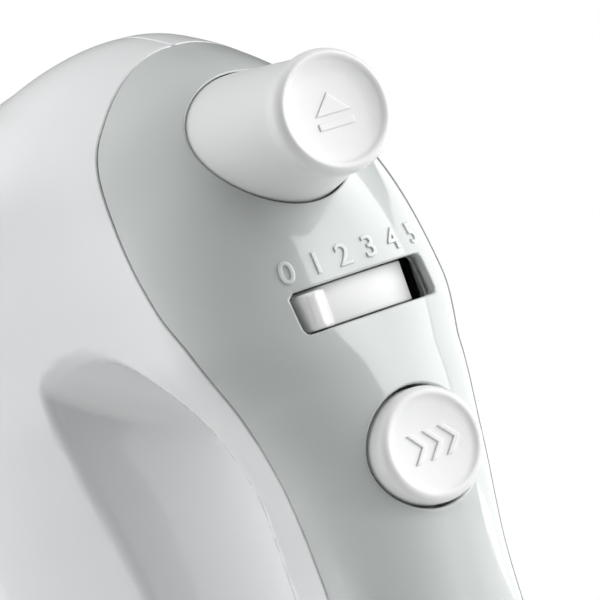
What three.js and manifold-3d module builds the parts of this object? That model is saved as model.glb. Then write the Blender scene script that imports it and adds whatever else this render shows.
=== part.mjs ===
// Hand mixer: two-part housing with a finger opening, control panel, eject button,
// speed slider, boost button, motor, worm drive and two beaters.
// Millimetres. Everything is laid out in the mixer's own axes first:
//   X forward to the nose, measured from the heel face; Y to the mixer's left; Z up,
//   measured from the motor axis. The outer group then stands it on its heel, nose up:
//   row X = -Y, row Y = -Z, row Z = X, with the origin in the middle of the heel pad.
import * as THREE from 'three';
import { mergeVertices } from 'three/addons/utils/BufferGeometryUtils.js';
import Module from 'manifold-3d';

const wasm = await Module();
wasm.setup();

// ---------- driving dimensions ----------
const WALL = 2.8;            // housing wall
const PANEL_WALL = 2.6;      // control panel wall
const GAP = 0.15;            // half the clearance at every parting face
const HEEL_CORNER = 13;      // corner radius round the heel face
const PAD_HALF_WIDTH = 16.5;
const PAD_HALF_HEIGHT = 16;
const PAD_THICK = 1.7;       // heel pad
const PAD_Z = 3.0;           // height of the heel pad's centre over the motor axis
const STAND = 2.0;           // heel face above the surface the mixer stands on

// side outline of housing and handle together, X and Z, from the nose over the top
const OUTLINE = [
  [195.0, 33.0], [192.9, 45.3], [189.3, 55.2], [186.5, 61.4], [178.1, 75.6], [162.8, 87.6],
  [147.7, 93.1], [131.1, 96.4], [116.8, 100.1], [100.8, 101.1], [80.8, 98.6], [59.2, 94.2],
  [38.5, 86.3], [20.9, 75.3], [8.9, 61.0], [2.2, 46.0], [0, 30], [0, 0], [0, -24],
  [3.4, -32.5], [13, -36], [55, -36], [105, -36], [145, -36], [168.9, -35.4], [179.9, -30.5],
  [188.9, -20.7], [193.3, -4.3], [195.4, 13.9]];
// half width at handle height and at motor height, along X
const HALF_HANDLE = [[20, 18.8], [60, 17.2], [80, 15.8], [101, 18.5], [117, 23.3], [131, 27],
  [145, 26.2], [160, 23.7], [172, 21], [185, 15.3], [195, 9.3]];
const HALF_BODY = [[20, 34.5], [110, 43], [150, 44], [172, 43], [185, 40.5], [195, 36]];
const FLARE_TOP = 95;        // the sides flare from here ...
const FLARE_BOTTOM = -25;    // ... down to here
// finger opening at the outer faces
const TUNNEL = [
  [139.8, 47], [139.5, 51], [138.4, 55.5], [136.3, 60], [133.4, 64.4], [129.8, 68.4],
  [125.8, 71.2], [121, 72.3], [113, 72], [104, 70.6], [94, 69.4], [80, 67.9], [66, 65],
  [54, 57.8], [48.5, 46], [52, 35.5], [64, 31.8], [84, 31.3], [105, 31.5], [122, 31.7],
  [131, 31.7], [134.2, 32.1], [135.6, 33.4], [137.4, 36.8], [139, 41]];
const NECK_BULGE = 18;       // how far the neck bulges back into the opening at the centre
const NECK_HALF = 36;
const FLOOR_CROWN = 5;       // the body's top, under the fingers, is this much higher at the centre
const PALM_DROP = 4.5;       // the handle's underside hangs this much lower at the centre
// lower edge of the control panel in side view
const PANEL_EDGE = [
  [205, 59.4], [187, 59.7], [180, 60.1], [172, 61.3], [162.5, 64.4], [151.5, 68.4],
  [139.3, 73.7], [129.7, 79.2], [118.4, 81.8], [112, 82.5], [105, 81.7], [96.5, 80.5],
  [86.7, 78.9], [78, 78.5], [68, 79.6], [58, 83], [50, 88.5], [45, 95], [42, 104]];

// eject button
const EJECT_X = 162.3;
const EJECT_PROFILE = [[15.35, 72], [15.0, 75], [12.6, 92], [10.95, 104], [11.3, 106.2],
  [11.2, 107.8], [10.1, 109.2], [8.8, 108.8], [6, 107.9], [0, 107.4]];
const EJECT_HOLE = [[0, 60], [15.9, 60], [15.75, 72], [15.3, 75], [12.98, 92], [11.3, 104],
  [11.3, 120], [0, 120]];
const EJECT_STROKE = 6.5;
// speed slider
const SLOT_X = 131.2;
const SLOT_Y = -1.9;         // the slot and its figures sit a little to the right
const SLOT_HALF_LENGTH = 14.65;
const SLOT_HALF_WIDTH = 3.9;
const SLIDER_AXIS_Z = 70;
const SLIDER_ANGLE = 20.6;   // the knob stands this far to the left of the middle at 0
const BAND_RIGHT = 35;       // the curved band reaches this far right of the middle at rest ...
const BAND_LEFT = 85;        // ... and this far left, so that it closes the slot at both ends
const BAND_INNER = 21.5;
const BAND_OUTER = 23.4;
const KNOB_PROFILE = [[-2.5, 22.4], [2.5, 22.4], [1.9, 28.8], [-1.9, 28.8]];
// boost button
const BOOST_X = 102.4;
const BOOST_HOLE = 11;
const BOOST_STROKE = 2.2;
// drive
const BEATER_X = 150;
const BEATER_Y = 15.5;
const SOCKET_HOLE = 7.5;
const SCREWS = [[52, -28], [118, -28], [182, 16], [141.8, 66.5], [24, 57]];

// ---------- solids ----------
function toSolid(geometry) {
  const g = geometry.clone();
  g.deleteAttribute('normal');
  g.deleteAttribute('uv');
  const m = mergeVertices(g, 1e-4);
  return new wasm.Manifold(new wasm.Mesh({
    numProp: 3,
    vertProperties: Float32Array.from(m.attributes.position.array),
    triVerts: Uint32Array.from(m.index.array),
  }));
}
function toGeometry(solid) {
  const mesh = solid.getMesh();
  const g = new THREE.BufferGeometry();
  const v = new Float32Array(mesh.numProp === 3 ? mesh.vertProperties : 0);
  g.setAttribute('position', new THREE.BufferAttribute(v, 3));
  g.setIndex(Array.from(mesh.triVerts));
  return g;
}
function closedMesh(vertices, triangles) {
  const g = new THREE.BufferGeometry();
  g.setAttribute('position', new THREE.Float32BufferAttribute(vertices.flat(), 3));
  g.setIndex(triangles.flat());
  return g;
}
const box = (x0, x1, y0, y1, z0, z1) => {
  const g = new THREE.BoxGeometry(x1 - x0, y1 - y0, z1 - z0);
  return g.translate((x0 + x1) / 2, (y0 + y1) / 2, (z0 + z1) / 2);
};
// turned pieces: profile is [radius, height] pairs, closed on itself or ending on the axis
function turned(profile, segments) {
  return new THREE.LatheGeometry(profile.map((p) => new THREE.Vector2(p[0], p[1])), segments);
}
const turnedZ = (profile, x, y, segments = 24) => turned(profile, segments).rotateX(Math.PI / 2)
  .translate(x, y, 0);
const turnedX = (profile, segments = 24) => turned(profile, segments).rotateZ(-Math.PI / 2);
const turnedY = (profile, x, z, segments = 12) => turned(profile, segments).translate(x, 0, z);
const ring = (r0, r1, a, b) => [[r0, a], [r1, a], [r1, b], [r0, b], [r0, a]];
const rod = (r, a, b) => [[0, a], [r, a], [r, b], [0, b]];
function prismXZ(points, y0, y1) {
  const shape = new THREE.Shape(points.map((p) => new THREE.Vector2(p[0], p[1])));
  const g = new THREE.ExtrudeGeometry(shape, { depth: y1 - y0, bevelEnabled: false });
  return g.rotateX(Math.PI / 2).translate(0, y1, 0);
}
function join(list) {
  return list.map(toSolid).reduce((a, b) => a.add(b));
}

// ---------- the housing's envelope ----------
function closedSpline(points, perSpan) {
  const curve = new THREE.CatmullRomCurve3(
    points.map((p) => new THREE.Vector3(p[0], p[1], 0)), true, 'centripetal');
  return curve.getPoints(points.length * perSpan).slice(0, -1).map((p) => [p.x, p.y]);
}
function depthIn(poly, x, z) {
  let best = 1e18;
  let inside = false;
  for (let i = 0, j = poly.length - 1; i < poly.length; j = i, i += 1) {
    const [ax, az] = poly[j];
    const [bx, bz] = poly[i];
    const ex = bx - ax;
    const ez = bz - az;
    const t = Math.min(1, Math.max(0, ((x - ax) * ex + (z - az) * ez) / (ex * ex + ez * ez)));
    best = Math.min(best, (x - ax - t * ex) ** 2 + (z - az - t * ez) ** 2);
    if ((az > z) !== (bz > z) && x < (ex * (z - az)) / ez + ax) inside = !inside;
  }
  return inside ? Math.sqrt(best) : -Math.sqrt(best);
}
// monotone cubic through the knots, held flat past both ends
function along(knots, x) {
  const n = knots.length;
  if (x <= knots[0][0]) return knots[0][1];
  if (x >= knots[n - 1][0]) return knots[n - 1][1];
  const h = [];
  const d = [];
  for (let i = 0; i < n - 1; i += 1) {
    h.push(knots[i + 1][0] - knots[i][0]);
    d.push((knots[i + 1][1] - knots[i][1]) / h[i]);
  }
  const m = [0];
  for (let i = 1; i < n - 1; i += 1) {
    const w1 = 2 * h[i] + h[i - 1];
    const w2 = h[i] + 2 * h[i - 1];
    m.push(d[i - 1] * d[i] <= 0 ? 0 : (w1 + w2) / (w1 / d[i - 1] + w2 / d[i]));
  }
  m.push(0);
  let i = 0;
  while (x > knots[i + 1][0]) i += 1;
  const t = (x - knots[i][0]) / h[i];
  const a = knots[i][1];
  const b = knots[i + 1][1];
  return a * (1 + 2 * t) * (1 - t) ** 2 + b * t * t * (3 - 2 * t)
    + h[i] * (m[i] * t * (1 - t) ** 2 - m[i + 1] * t * t * (1 - t));
}
function smooth(e0, e1, x) {
  const t = Math.min(1, Math.max(0, (x - e0) / (e1 - e0)));
  return t * t * (3 - 2 * t);
}
const OUT = closedSpline(OUTLINE, 6);
function halfWidth(x, z) {
  const top = along(HALF_HANDLE, x);
  return top + (along(HALF_BODY, x) - top) * smooth(FLARE_TOP, FLARE_BOTTOM, z);
}
// corners are full and round at the nose, tighter at the heel so that it has a flat face
function cornerRadius(x, z) {
  const full = Math.min(halfWidth(x, z) - 1, 23 + 7 * smooth(60, 10, z));
  return HEEL_CORNER + (full - HEEL_CORNER) * smooth(-15, 115, x);
}
// half width of the rounded envelope, moved in by inset
function halfY(x, z, inset) {
  const w = halfWidth(x, z) - inset;
  const r = Math.max(cornerRadius(x, z) - inset, 3);
  const a = Math.min(0, Math.max(-r, inset - depthIn(OUT, x, z)));
  return w - r + Math.sqrt(Math.max(0, r * r - (a + r) ** 2));
}
function envelope(inset, stride) {
  const centre = [100, 30];
  const start = OUT.filter((p, i) => i % stride === 0);
  const steps = stride > 4 ? [0, 22, 44, 66, 90] : [0, 18, 36, 62, 90];
  const rings = steps.map(() => []);
  for (const p of start) {
    const r = Math.max(cornerRadius(p[0], p[1]) - inset, 3);
    steps.forEach((deg, k) => {
      const want = inset + r * (1 - Math.cos((deg * Math.PI) / 180));
      let lo = 0;
      let hi = 1;
      for (let n = 0; n < 30; n += 1) {
        const s = (lo + hi) / 2;
        const q = [p[0] + (centre[0] - p[0]) * s, p[1] + (centre[1] - p[1]) * s];
        if (depthIn(OUT, q[0], q[1]) > want) hi = s; else lo = s;
      }
      rings[k].push([p[0] + (centre[0] - p[0]) * hi, p[1] + (centre[1] - p[1]) * hi]);
    });
  }
  for (const f of [0.55]) {
    rings.push(rings[steps.length - 1].map((q) => [
      q[0] + (centre[0] - q[0]) * f, q[1] + (centre[1] - q[1]) * f]));
  }
  const n = start.length;
  const vertices = [];
  const triangles = [];
  for (const side of [1, -1]) {
    for (const r of rings) {
      for (const q of r) vertices.push([q[0], side * halfY(q[0], q[1], inset), q[1]]);
    }
    vertices.push([centre[0], side * halfY(centre[0], centre[1], inset), centre[1]]);
  }
  const block = rings.length * n + 1;
  const put = (a, b, c, flip) => triangles.push(flip ? [a, c, b] : [a, b, c]);
  for (const s of [0, 1]) {
    for (let k = 0; k < rings.length - 1; k += 1) {
      for (let i = 0; i < n; i += 1) {
        const j = (i + 1) % n;
        const a = s * block + k * n;
        const b = a + n;
        put(a + i, b + i, b + j, s === 0);
        put(a + i, b + j, a + j, s === 0);
      }
    }
    for (let i = 0; i < n; i += 1) {
      const a = s * block + (rings.length - 1) * n;
      put(a + i, s * block + block - 1, a + ((i + 1) % n), s === 0);
    }
  }
  for (let i = 0; i < n; i += 1) {
    const j = (i + 1) % n;
    triangles.push([i, block + i, block + j]);
    triangles.push([i, block + j, j]);
  }
  return outward(closedMesh(vertices, triangles));
}
// turns a closed mesh's faces outward
function outward(g) {
  const p = g.attributes.position;
  const t = g.index.array;
  let volume = 0;
  const a = new THREE.Vector3();
  const b = new THREE.Vector3();
  const c = new THREE.Vector3();
  for (let i = 0; i < t.length; i += 3) {
    a.fromBufferAttribute(p, t[i]);
    b.fromBufferAttribute(p, t[i + 1]);
    c.fromBufferAttribute(p, t[i + 2]);
    volume += a.dot(b.cross(c));
  }
  if (volume < 0) {
    for (let i = 0; i < t.length; i += 3) [t[i + 1], t[i + 2]] = [t[i + 2], t[i + 1]];
  }
  return g;
}
// the finger opening, grown outward by grow
function opening(grow) {
  const base = closedSpline(TUNNEL, grow ? 1 : 2);
  const n = base.length;
  const points = base.map((p, i) => {
    const a = base[(i + n - 1) % n];
    const b = base[(i + 1) % n];
    const l = Math.hypot(b[0] - a[0], b[1] - a[1]);
    return [p[0] + (grow * (b[1] - a[1])) / l, p[1] - (grow * (b[0] - a[0])) / l];
  });
  const levels = [-60, -36, -30, -22, -12, 0, 12, 22, 30, 36, 60];
  const vertices = [];
  const triangles = [];
  for (const y of levels) {
    const bulge = NECK_BULGE * Math.max(0, 1 - Math.abs(y / NECK_HALF) ** 1.6);
    const drop = PALM_DROP * Math.max(0, 1 - (y / 20) ** 2);
    const rise = FLOOR_CROWN * Math.max(0, 1 - (y / 33) ** 2);
    for (const [px, pz] of points) {
      let x = px;
      for (let k = 0; k < 40; k += 1) x = px - bulge * smooth(68, 112, x);
      vertices.push([x, y, pz - drop * smooth(50, 65, pz) + rise * (1 - smooth(38, 56, pz))]);
    }
  }
  const caps = [0, levels.length - 1].map((k) => {
    const r = vertices.slice(k * n, k * n + n);
    const sum = r.reduce((s, v) => [s[0] + v[0], s[1] + v[1], s[2] + v[2]], [0, 0, 0]);
    vertices.push(sum.map((s) => s / n));
    return vertices.length - 1;
  });
  for (let k = 0; k < levels.length - 1; k += 1) {
    for (let i = 0; i < n; i += 1) {
      const j = (i + 1) % n;
      const a = k * n;
      triangles.push([a + i, a + j, a + n + j], [a + i, a + n + j, a + n + i]);
    }
  }
  const last = (levels.length - 1) * n;
  for (let i = 0; i < n; i += 1) {
    const j = (i + 1) % n;
    triangles.push([caps[0], j, i], [caps[1], last + i, last + j]);
  }
  return outward(closedMesh(vertices, triangles));
}
// everything above the panel's lower edge
function abovePanelEdge(shift) {
  const edge = PANEL_EDGE.map(([x, z]) => [x, z + shift]);
  return toSolid(prismXZ([...edge, [42, 130], [205, 130]].reverse(), -60, 60));
}

const outer = toSolid(envelope(0, 4));
const hollow = toSolid(envelope(WALL, 6)).subtract(toSolid(opening(WALL)));
const shell = outer.subtract(toSolid(opening(0))).subtract(hollow);
const glandAxis = new THREE.Vector3(-0.72, 0, 0.69).normalize();
function glandPiece(profile) {
  const g = turned(profile, 16);
  const q = new THREE.Quaternion().setFromUnitVectors(new THREE.Vector3(0, 1, 0), glandAxis);
  return g.applyQuaternion(q).translate(14.5, 0, 68.5);
}

function housing(side) {
  const s = side;
  const [y0, y1] = s > 0 ? [GAP, 60] : [-60, -GAP];
  let solid = shell;
  for (const [x, z] of SCREWS) {
    const post = s > 0 ? rod(4, GAP, 44) : rod(4.6, -44, -GAP);
    solid = solid.add(toSolid(turnedY(post, x, z)).intersect(outer));
  }
  solid = solid.intersect(toSolid(box(-5, 200, y0, y1, -60, 130)));
  solid = solid.subtract(abovePanelEdge(-GAP));
  for (const [x, z] of SCREWS) {
    if (s > 0) {
      solid = solid.subtract(toSolid(turnedY(rod(1.7, -5, 11), x, z)));
    } else {
      solid = solid.subtract(toSolid(turnedY(rod(1.9, -20, 5), x, z)));
      solid = solid.subtract(toSolid(turnedY(rod(3.2, -60, -8), x, z)));
    }
  }
  const socket = turnedZ(rod(SOCKET_HOLE, -60, -25), BEATER_X, s * BEATER_Y);
  solid = solid.subtract(toSolid(socket));
  solid = solid.subtract(toSolid(glandPiece(rod(6.9, -12, 14))));
  for (let k = 0; k < 5; k += 1) {
    const x = 16 + 6.5 * k;
    const slot = box(x, x + 2.6, Math.min(s * 20, s * 60), Math.max(s * 20, s * 60), -16, 14);
    solid = solid.subtract(toSolid(slot));
  }
  return toGeometry(solid);
}

function controlPanel() {
  let solid = outer.subtract(toSolid(envelope(PANEL_WALL, 6))).intersect(abovePanelEdge(GAP));
  solid = solid.subtract(toSolid(turnedZ(EJECT_HOLE, EJECT_X, 0, 24)));
  solid = solid.subtract(toSolid(box(SLOT_X - SLOT_HALF_WIDTH, SLOT_X + SLOT_HALF_WIDTH,
    SLOT_Y - SLOT_HALF_LENGTH, SLOT_Y + SLOT_HALF_LENGTH, 80, 110)));
  solid = solid.subtract(toSolid(turnedZ(rod(BOOST_HOLE, 85, 115), BOOST_X, 0, 24)));
  return toGeometry(solid);
}

// ---------- controls ----------
function ejectButton() {
  const inside = [[0, 104.7], [8.9, 104.7], [10.6, 92], [13, 75], [13.3, 72]];
  return turnedZ([...EJECT_PROFILE.slice().reverse(), ...inside.slice().reverse()]
    .map(([r, z]) => [r, z]).reverse(), EJECT_X, 0, 24);
}
function ejectPlate() {
  return toGeometry(join([
    turnedZ(rod(2.5, 31, 104.3), EJECT_X, 0, 12),
    box(146.5, 166, -4, 4, 30, 33),
    box(146.5, 153.5, -19, 19, 30, 33),
    turnedZ(rod(2.6, 18, 31), BEATER_X, BEATER_Y, 12),
    turnedZ(rod(2.6, 18, 31), BEATER_X, -BEATER_Y, 12),
  ]));
}
function spring(x, z0, z1, radius, wire, turns) {
  const path = new THREE.CatmullRomCurve3(Array.from({ length: turns * 10 + 1 }, (_, i) => {
    const a = (i / 10) * Math.PI * 2;
    const f = i / (turns * 10);
    return new THREE.Vector3(x + radius * Math.cos(a), radius * Math.sin(a),
      z0 + wire + (z1 - z0 - 2 * wire) * f);
  }));
  const section = new THREE.Shape(Array.from({ length: 5 }, (_, i) => new THREE.Vector2(
    wire * Math.cos((i * 2 * Math.PI) / 5), wire * Math.sin((i * 2 * Math.PI) / 5))));
  return new THREE.ExtrudeGeometry(section, { steps: turns * 10, extrudePath: path });
}
function speedSlider() {
  const rad = Math.PI / 180;
  const band = new THREE.Shape();
  const from = (90 - BAND_RIGHT) * rad;
  const to = (90 + BAND_LEFT) * rad;
  band.absarc(0, 0, BAND_OUTER, from, to, false);
  band.absarc(0, 0, BAND_INNER, to, from, true);
  const strip = new THREE.ExtrudeGeometry(band, { depth: 7.1, bevelEnabled: false,
    curveSegments: 18 }).translate(0, 0, -3.55);
  const block = new THREE.Shape(KNOB_PROFILE.map((p) => new THREE.Vector2(p[0], p[1])));
  const knob = new THREE.ExtrudeGeometry(block, { depth: 6.6, bevelEnabled: false })
    .translate(0, 0, -3.3).rotateZ(SLIDER_ANGLE * rad);
  // drawn with -x to the mixer's left: its plane is laid across the mixer at the slot
  const g = toGeometry(join([strip, knob]));
  const p = g.attributes.position;
  for (let i = 0; i < p.count; i += 1) {
    const [a, b, c] = [p.getX(i), p.getY(i), p.getZ(i)];
    p.setXYZ(i, SLOT_X + c, -a, SLIDER_AXIS_Z + b);
  }
  return outward(g);
}
function boostButton() {
  return turnedZ([[0, 91], [12.4, 91], [12.4, 92.2], [10.35, 92.2], [10.35, 101.6], [9.9, 102.8],
    [8.9, 103.3], [7.8, 102.9], [5, 102.3], [0, 102]], BOOST_X, 0, 24);
}

// ---------- drive ----------
function gearShape(teeth, r0, r1) {
  const points = [];
  for (let i = 0; i < teeth; i += 1) {
    for (const [f, r] of [[0, r0], [0.3, r0], [0.42, r1], [0.82, r1]]) {
      const a = ((i + f) / teeth) * Math.PI * 2;
      points.push(new THREE.Vector2(r * Math.cos(a), r * Math.sin(a)));
    }
  }
  return new THREE.Shape(points);
}
function spindleGear(side) {
  const wheel = new THREE.ExtrudeGeometry(gearShape(18, 8.9, 10.2), { depth: 9, bevelEnabled: false })
    .translate(BEATER_X, side * BEATER_Y, -4.5);
  const tube = turnedZ(rod(5.4, -39.6, 14), BEATER_X, side * BEATER_Y, 20);
  const bore = turnedZ(rod(3.3, -60, 30), BEATER_X, side * BEATER_Y, 16);
  return toGeometry(join([wheel, tube]).subtract(toSolid(bore)));
}
function armatureShaft() {
  const profile = [[0, 20], [3, 20], [3, 138]];
  for (let x = 140; x < 160; x += 4) profile.push([3.4, x], [4.6, x + 1.2], [4.6, x + 2], [3.4, x + 3.2]);
  profile.push([3, 161], [3, 175], [0, 175]);
  return turnedX(profile, 12);
}
function armatureCore() {
  const g = new THREE.ExtrudeGeometry(gearShape(12, 11.6, 14.6), { depth: 26, bevelEnabled: false })
    .rotateY(Math.PI / 2).translate(64, 0, 0);
  const ends = turnedX(rod(10.6, 60.5, 93.5), 16);
  return toGeometry(join([g, ends]).subtract(toSolid(turnedX(rod(3.3, 0, 120), 14))));
}
function fan() {
  const parts = [turnedX(rod(7, 24, 34), 18), turnedX(rod(21.5, 32.4, 34), 24)];
  for (let i = 0; i < 9; i += 1) {
    parts.push(box(24.5, 33, -0.7, 0.7, 6, 21).rotateX((i * 2 * Math.PI) / 9));
  }
  return toGeometry(join(parts).subtract(toSolid(turnedX(rod(3.3, 0, 60), 14))));
}
function stator() {
  let solid = toSolid(box(62, 92, -26.5, 26.5, -23.5, 23.5));
  solid = solid.subtract(toSolid(turnedX(rod(15.4, 50, 110), 28)));
  for (const y of [-17, 17]) {
    for (const z of [-16, 16]) {
      solid = solid.subtract(toSolid(box(50, 110, y - 3.4, y + 3.4, z - 3.4, z + 3.4)));
    }
  }
  return toGeometry(solid);
}
function fieldCoil(side) {
  const z = side * 16;
  const whole = toSolid(box(56, 98, -20, 20, z - 3, z + 3));
  return toGeometry(whole.subtract(toSolid(box(61.6, 92.4, -14, 14, z - 5, z + 5))));
}
function motorBracket() {
  let solid = toSolid(box(38, 41, -25, 25, -22, 22));
  solid = solid.subtract(toSolid(turnedX(rod(6.4, 30, 50), 20)));
  return toGeometry(solid);
}
function gearFrame() {
  let solid = join([box(128, 131, -29, 29, -25, 25), box(130, 173, -27, 27, 12, 15),
    box(130, 173, -27, 27, -15, -12), box(170, 173, -27, 27, -15, 15)]);
  solid = solid.subtract(toSolid(turnedX(rod(6.4, 120, 200), 20)));
  for (const s of [1, -1]) {
    solid = solid.subtract(toSolid(turnedZ(rod(6, -30, 30), BEATER_X, s * BEATER_Y, 20)));
  }
  return toGeometry(solid);
}
function socketPlate() {
  const shape = new THREE.Shape();
  const [a, b, r] = [18, 30, 14];
  shape.absarc(a - r, b - r, r, 0, Math.PI / 2, false);
  shape.absarc(r - a, b - r, r, Math.PI / 2, Math.PI, false);
  shape.absarc(r - a, r - b, r, Math.PI, 1.5 * Math.PI, false);
  shape.absarc(a - r, r - b, r, 1.5 * Math.PI, 2 * Math.PI, false);
  const g = new THREE.ExtrudeGeometry(shape, { depth: 1.6, bevelEnabled: false, curveSegments: 6 })
    .translate(BEATER_X, 0, -37.9);
  let solid = toSolid(g);
  for (const s of [1, -1]) {
    solid = solid.subtract(toSolid(turnedZ(rod(SOCKET_HOLE, -60, -25), BEATER_X, s * BEATER_Y)));
  }
  return toGeometry(solid);
}

// ---------- beaters ----------
const LOOP = [[0, -58], [6, -59.5], [13, -66], [19.5, -77], [22.6, -90], [22.9, -103],
  [20.5, -117], [15, -128], [7, -134.6], [0, -136]];
function beaterLoop(side, inset, turn) {
  const half = LOOP.map(([r, z], i) => [Math.max(0, r - (i && i < 9 ? inset : 0)),
    z + (z > -97 ? -inset : inset)]);
  const full = [...half, ...half.slice(1, -1).reverse().map(([r, z]) => [-r, z])];
  const outerLine = closedSpline(full, 2);
  const n = outerLine.length;
  const innerLine = outerLine.map((p, i) => {
    const a = outerLine[(i + n - 1) % n];
    const b = outerLine[(i + 1) % n];
    const l = Math.hypot(b[0] - a[0], b[1] - a[1]);
    return [p[0] + (1.2 * (b[1] - a[1])) / l, p[1] - (1.2 * (b[0] - a[0])) / l];
  });
  const shape = new THREE.Shape(outerLine.reverse().map((p) => new THREE.Vector2(p[0], p[1])));
  shape.holes.push(new THREE.Path(innerLine.map((p) => new THREE.Vector2(p[0], p[1]))));
  const g = new THREE.ExtrudeGeometry(shape, { depth: 5.6, bevelEnabled: false })
    .translate(0, 0, -2.8).rotateX(Math.PI / 2).rotateZ(turn)
    .translate(BEATER_X, side * BEATER_Y, 0);
  const bore = turnedZ(rod(3.2, -90, -40), BEATER_X, side * BEATER_Y, 14);
  return toGeometry(toSolid(g).subtract(toSolid(bore)));
}

// ---------- assembly ----------
const mixer = new THREE.Group();
// mixer X -> row +Z, mixer Y -> row -X, mixer Z -> row -Y
mixer.quaternion.setFromRotationMatrix(new THREE.Matrix4().makeBasis(
  new THREE.Vector3(0, 0, 1), new THREE.Vector3(-1, 0, 0), new THREE.Vector3(0, -1, 0)));
mixer.position.set(0, PAD_Z, STAND);

const finish = {
  white: [0xf3f3f2, 0.16, 0], grey: [0xb9bfbd, 0.18, 0], button: [0xf0f0ef, 0.3, 0],
  rubber: [0x4a4c4e, 0.8, 0], dark: [0x2b2d2f, 0.55, 0], steel: [0xc6c8ca, 0.25, 1],
  chrome: [0xdadcde, 0.1, 1], copper: [0xb3683a, 0.35, 1], iron: [0x77797c, 0.5, 1],
  nylon: [0xe6e2d2, 0.5, 0], board: [0x2f6b46, 0.6, 0], carbon: [0x1c1c1d, 0.7, 0],
  brass: [0xb79a4a, 0.3, 1],
};
function add(name, geometry, look) {
  const [color, roughness, metalness] = finish[look];
  const g = geometry.clone();
  g.deleteAttribute('uv');
  g.computeVertexNormals();
  const mesh = new THREE.Mesh(g, new THREE.MeshStandardMaterial({ color, roughness, metalness }));
  mesh.name = name;
  mixer.add(mesh);
}

add('left_housing', housing(1), 'white');
add('right_housing', housing(-1), 'white');
add('control_panel', controlPanel(), 'grey');
add('socket_plate', socketPlate(), 'grey');
add('heel_pad', box(-STAND, -STAND + PAD_THICK, -PAD_HALF_WIDTH,
  PAD_HALF_WIDTH, PAD_Z - PAD_HALF_HEIGHT, PAD_Z + PAD_HALF_HEIGHT), 'rubber');
add('cord_gland', glandPiece([[3.4, -9], [6.5, -9], [6.5, 3], [5.6, 9], [3.4, 9], [3.4, -9]]), 'dark');
SCREWS.forEach(([x, z], i) => {
  const profile = [[0, -10.4], [2.8, -10.4], [2.8, -8.4], [1.35, -8.4], [1.35, 10], [0, 10]];
  add(`housing_screw_${i + 1}`, turnedY(profile, x, z, 10), 'steel');
});

add('eject_button', ejectButton(), 'button');
add('eject_plate', ejectPlate(), 'nylon');
add('eject_spring', spring(EJECT_X, 15.3, 29.7, 4.6, 0.5, 4), 'steel');
add('speed_slider', speedSlider(), 'button');
add('boost_button', boostButton(), 'button');
add('boost_spring', spring(BOOST_X, 77.9, 90.7, 7, 0.5, 4), 'steel');
add('circuit_board', box(82, 119, -11, 11, 76, 77.6), 'board');
add('boost_switch', box(98.4, 106.4, -4, 4, 77.9, 84.5), 'dark');
add('speed_switch', box(128.6, 146, -11, 11, 45, 60), 'dark');

add('motor_stator', stator(), 'iron');
add('field_coil_upper', fieldCoil(1), 'copper');
add('field_coil_lower', fieldCoil(-1), 'copper');
add('motor_bracket', motorBracket(), 'iron');
add('rear_bearing', turnedX(ring(3.3, 6.1, 37.6, 41.4), 12), 'brass');
add('front_bearing', turnedX(ring(3.3, 6.1, 127.6, 131.4), 12), 'brass');
add('nose_bearing', turnedX(ring(3.3, 6.1, 169.6, 173.4), 12), 'brass');
for (const [side, name] of [[1, 'left'], [-1, 'right']]) {
  const span = (a, b) => (side > 0 ? [a, b] : [-b, -a]);
  const holder = toSolid(box(45.4, 55.6, ...span(10, 24), -4.6, 4.6))
    .subtract(toSolid(box(47.2, 53.8, ...span(5, 30), -2.8, 2.8)));
  add(`brush_holder_${name}`, toGeometry(holder), 'dark');
  add(`carbon_brush_${name}`, box(47.5, 53.5, ...span(8.4, 18), -2.5, 2.5), 'carbon');
}
add('armature_shaft', armatureShaft(), 'steel');
add('armature_core', armatureCore(), 'iron');
add('commutator', turnedX(ring(3.3, 8, 45, 56), 12), 'copper');
add('cooling_fan', fan(), 'nylon');

add('gear_frame', gearFrame(), 'iron');
for (const [side, name] of [[1, 'left'], [-1, 'right']]) {
  const y = side * BEATER_Y;
  const turn = side > 0 ? 0 : Math.PI / 4;
  add(`worm_wheel_${name}`, spindleGear(side), 'nylon');
  add(`spindle_bush_${name}`, turnedZ(ring(5.8, 7.15, -38.5, -31), BEATER_X, y, 20), 'dark');
  add(`beater_shaft_${name}`, turnedZ([[0, -132], [2.4, -132], [2.9, -130], [2.9, 7.5],
    [1.9, 9.5], [0, 9.5]], BEATER_X, y, 12), 'chrome');
  const collar = side > 0 ? 6.2 : 8;
  add(`beater_collar_${name}`, turnedZ(ring(3.2, collar, -46.5, -43), BEATER_X, y, 18), 'nylon');
  add(`beater_loop_outer_${name}`, beaterLoop(side, 0, turn), 'chrome');
  add(`beater_loop_inner_${name}`, beaterLoop(side, 1.6, turn + Math.PI / 2), 'chrome');
}

const group = new THREE.Group();
group.add(mixer);
export default group;
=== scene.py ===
import math

import bmesh
import bpy
import numpy as np
from mathutils import Matrix, Vector


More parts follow.
